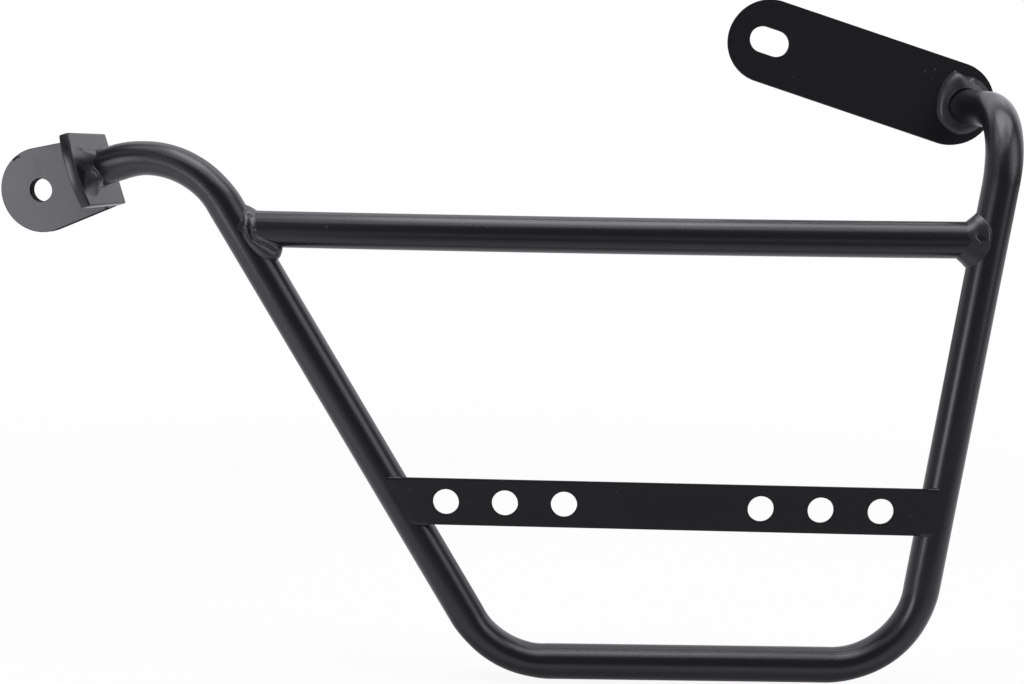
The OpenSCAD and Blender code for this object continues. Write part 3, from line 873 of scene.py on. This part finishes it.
def ray_is(start, *kinds):
    """1 for the kinds of ray that are named, such as Camera or Glossy."""
    found = start.node("ShaderNodeLightPath", take=f"Is {kinds[0]} Ray")
    for kind in kinds[1:]:
        found = found.at_least(start.node("ShaderNodeLightPath", take=f"Is {kind} Ray"))
    return found


def parts(start, vector):
    """The X, Y and Z of a vector."""
    split = start.node("ShaderNodeSeparateXYZ", Vector=vector).socket.node
    return [Wire(start.tree, output) for output in split.outputs]


world = bpy.data.worlds.new("studio")
bpy.context.scene.world = world
world.use_nodes = True
world.node_tree.nodes.clear()
start = Wire(world.node_tree)
x, y, z = parts(start, start.node("ShaderNodeTexCoord", take="Generated"))
# x, y and z are a direction here, and y grows away from the camera. walls is the bright back of
# the room with its sides, glare a brighter part of it, and the last sum the wall in front.
sides = (0.33 * x.step(0.6, 0.9)).at_least(0.54 * x.step(-0.6, -0.9))
glare = 0.55 * x.step(0.15, 0.35) * z.step(0.14, 0.27)
walls = ((0.9 + glare) * y.step(0.1, 0.6)).at_least(sides) * z.step(-0.05, 0.1)
room = walls + 0.14 * y.step(-0.5, -0.9)
shown = ray_is(start, "Glossy", "Transmission")
seen = ray_is(start, "Camera")
level = seen.at_least(room * (0.7 + 0.3 * shown))
tint = blend(start, seen, LIGHT_TINT, WHITE)
start.node("ShaderNodeOutputWorld",
           Surface=start.node("ShaderNodeBackground", Color=tint, Strength=level))

# %% Floor
FLOOR_GAP, FLOOR_HALF = 0.3 * MM, 3.0
FLOOR_Z = cad_box[0][2] - FLOOR_GAP
FLOOR_MIDDLE, UNDER_FRAME = Vector((0.2, 0, FLOOR_Z)), Vector((0.22, 0, FLOOR_Z))

floor_bm = bmesh.new()
bmesh.ops.create_grid(floor_bm, x_segments=1, y_segments=1, size=FLOOR_HALF,
                      matrix=Matrix.Translation(FLOOR_MIDDLE))
floor_mesh = bpy.data.meshes.new("floor")
floor_bm.to_mesh(floor_mesh)
floor_bm.free()
floor = add_object("floor", floor_mesh)
floor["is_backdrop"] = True

# %% The floor's glow for glossy rays: painted light and a painted shadow
floor_white, start = new_material("floor_white")
place = start.node("ShaderNodeTexCoord", take="Object")
x, y, _ = parts(start, place)
seen, shown = ray_is(start, "Camera"), ray_is(start, "Glossy", "Transmission")
far = vector_maths(start, "DISTANCE", place, UNDER_FRAME, take="Value").step(0.25, 1.2)
# Painted light: the paint sees glowing patches on the floor, behind the frame, towards the
# camera and at the left. A painted shadow makes them dimmer right under the bottom tube, where
# the frame keeps the light off.
back, front = 0.92 * y.step(-0.45, -0.05), 0.55 * y.step(-0.30, -0.70)
left = 0.85 * x.step(0.16, -0.06) * (y.step(-0.75, -0.42) * y.step(0.0, -0.22))
shadow_y = y.step(-0.06, -0.035) * y.step(0.01, -0.015)
shadow_x = x.step(0.12, 0.20) * x.step(0.46, 0.38)
painted_floor_light = (back + front + left) * (1 - 0.6 * (shadow_y * shadow_x))
tint = blend(start, seen, LIGHT_TINT, WHITE)
glow = start.node("ShaderNodeEmission", Color=tint, Strength=seen.at_least(painted_floor_light))
lit = start.node("ShaderNodeBsdfDiffuse", Color=(0.8, 0.8, 0.8, 1))
share = seen * (0.92 + 0.08 * far) + shown
start.node("ShaderNodeOutputMaterial",
           Surface=start.node("ShaderNodeMixShader", _0=share, _1=lit, _2=glow))
floor_mesh.materials.append(floor_white)
print("floor at z =", round(FLOOR_Z / MM, 1), "mm")

# %% Soft boxes
FACE_WATTS = 4  # per square metre, for a brightness of 1


def soft_box(name, at, aim, width, height, brightness):
    """A box light at a point in metres that faces its aim. Brightness is that of its face."""
    at, aim = Vector(at), Vector(aim)
    back = (at - aim).normalized()
    level = Z_AXIS.cross(back).normalized()
    lamp = bpy.data.lights.new(name, "AREA")
    lamp.shape, lamp.size, lamp.size_y = "RECTANGLE", width, height
    lamp.energy = brightness * width * height * FACE_WATTS
    lamp.color = LIGHT_TINT[:3]
    made = add_object(name, lamp)
    made.matrix_world = stand(at, level, back)
    made.visible_camera = False
    print(f"{name}: {lamp.energy:.2f} W")


soft_box("left_side", (-0.38, -0.52, -0.04), (0.15, -0.02, -0.05), 0.28, 0.34, 3.6)
soft_box("front_left", (-0.17, -0.66, 0.20), (0.08, -0.02, 0.03), 0.15, 0.60, 0.75)
soft_box("high_left", (-0.67, -0.76, 0.90), (0.21, -0.02, -0.06), 0.60, 0.50, 0.6)
soft_box("right_side", (1.00, -0.45, -0.05), (0.35, -0.02, -0.05), 0.30, 0.60, 0.58)
soft_box("high_right", (0.95, -0.55, 0.45), (0.25, -0.02, 0.0), 0.50, 0.45, 0.95)
soft_box("far_right", (1.05, -0.35, 0.40), (0.25, -0.02, 0.0), 0.45, 0.60, 1.2)
soft_box("overhead_left", (-0.09, -0.11, 0.85), (0.10, -0.02, 0.0), 0.50, 0.60, 1.6)
soft_box("overhead", (0.22, -0.10, 0.85), (0.22, -0.02, 0.0), 0.35, 0.60, 3.2)
soft_box("overhead_right", (0.62, -0.10, 0.85), (0.35, -0.02, 0.0), 0.45, 0.60, 3.2)
soft_box("overhead_front", (0.30, -0.50, 0.75), (0.22, -0.02, 0.0), 0.90, 0.25, 1.8)
soft_box("high_back", (0.21, 0.77, 1.21), (0.21, -0.02, -0.06), 1.60, 0.60, 0.72)

# %% Camera
CAMERA_AT = Vector((243.06, -685.06, -0.58)) * MM
RIGHT = Vector((0.99906, 0.04058, 0.01499)).normalized()
FORWARD = Vector((-0.03897, 0.99466, -0.09558)).normalized()
LENS_MM, SENSOR_MM = 52.70, 36
NEAREST, FARTHEST = 0.01, 20

camera = add_object("camera", bpy.data.cameras.new("camera"))
camera.matrix_world = stand(CAMERA_AT, RIGHT, -FORWARD)
camera.data.lens, camera.data.sensor_width = LENS_MM, SENSOR_MM
camera.data.clip_start, camera.data.clip_end = NEAREST, FARTHEST
bpy.context.scene.camera = camera
bpy.context.scene.view_settings.view_transform = "Standard"

# %% Sizes of the finished model
new_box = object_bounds()
print("visual box in mm:", in_mm(new_box))
